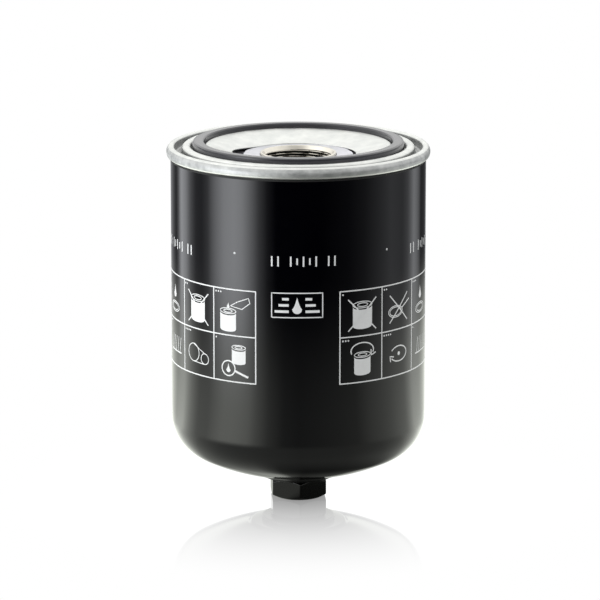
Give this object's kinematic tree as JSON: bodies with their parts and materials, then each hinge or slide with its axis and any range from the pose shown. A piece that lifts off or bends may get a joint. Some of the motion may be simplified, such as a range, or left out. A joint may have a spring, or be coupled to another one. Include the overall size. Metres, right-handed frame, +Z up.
{
  "type": "oil filter",
  "caption": "Black spin-on engine oil filter with a screwed hub, face gasket, pleated element, bypass and anti-drain valves and a hex drain plug.",
  "frame": {"origin": "on the filter's axis at the lower face of the hexagonal drain plug, which the filter stands on", "axes": "+Z up the axis from the drain plug to the gasket and the hub's thread; -Y is the side the filter is looked at from; one oil inlet window lies near +X and the other near -X"},
  "size_m": [0.136, 0.136, 0.1885],
  "materials": {
    "black_paint": "semi-gloss",
    "tinned_sheet": "dull tinned",
    "plate_steel": "satin zinc",
    "hub_steel": "bright turned",
    "gasket_rubber": "matte",
    "valve_rubber": "matte",
    "spring_steel": "drawn wire",
    "inner_steel": "pressed",
    "seal_rubber": "matte",
    "cap_steel": "pressed tinplate",
    "plastisol": "cast",
    "filter_paper": "resin treated",
    "band_glue": "hot melt",
    "tube_steel": "perforated sheet",
    "boss_paint": "semi-gloss",
    "washer_rubber": "matte",
    "plug_paint": "gloss"
  },
  "bodies": {
    "filter_body": {"can_shell": "black_paint", "seaming_lid": "tinned_sheet", "base_plate": "plate_steel", "threaded_hub": "hub_steel", "base_gasket": "gasket_rubber", "anti_drain_spring": "spring_steel", "valve_retainer": "inner_steel", "element_seal": "seal_rubber", "element_top_cap": "cap_steel", "top_adhesive": "plastisol", "pleated_media": "filter_paper", "pleat_bands": "band_glue", "centre_tube": "tube_steel", "element_bottom_cap": "cap_steel", "bottom_adhesive": "plastisol", "bypass_seat": "inner_steel", "bypass_spring": "spring_steel", "bypass_cage": "inner_steel", "spring_seat": "inner_steel", "support_spring": "spring_steel", "drain_boss": "boss_paint"},
    "drain_valve": {"anti_drain_valve": "valve_rubber"},
    "bypass_poppet": {"bypass_disc": "inner_steel", "bypass_seal": "seal_rubber"},
    "plug_washer": {"drain_seal": "washer_rubber"},
    "plug": {"drain_plug": "plug_paint"}
  },
  "joints": [
    {"name": "anti_drain_lift", "type": "slide", "parent": "filter_body", "child": "drain_valve", "axis": [0, 0, -1], "range_m": [0, 0.0016], "stiffness_N_per_m": 300, "springref_m": -0.0008, "deforming": ["anti_drain_spring"]},
    {"name": "bypass_lift", "type": "slide", "parent": "filter_body", "child": "bypass_poppet", "axis": [0, 0, 1], "range_m": [0, 0.006], "stiffness_N_per_m": 2000, "springref_m": -0.004, "deforming": ["bypass_spring"]},
    {"name": "plug_draw", "type": "slide", "parent": "filter_body", "child": "plug_washer", "axis": [0, 0, -1], "range_m": [0, 0.015]},
    {"name": "plug_turn", "type": "hinge", "parent": "plug_washer", "child": "plug", "pos_m": [0, 0, 0.0048], "axis": [0, 0, -1], "range_deg": [0, 3600]}
  ],
  "couplings": [
    {"joint": "plug_draw", "follows": "plug_turn", "m_per_rad": 0.00023873}
  ]
}
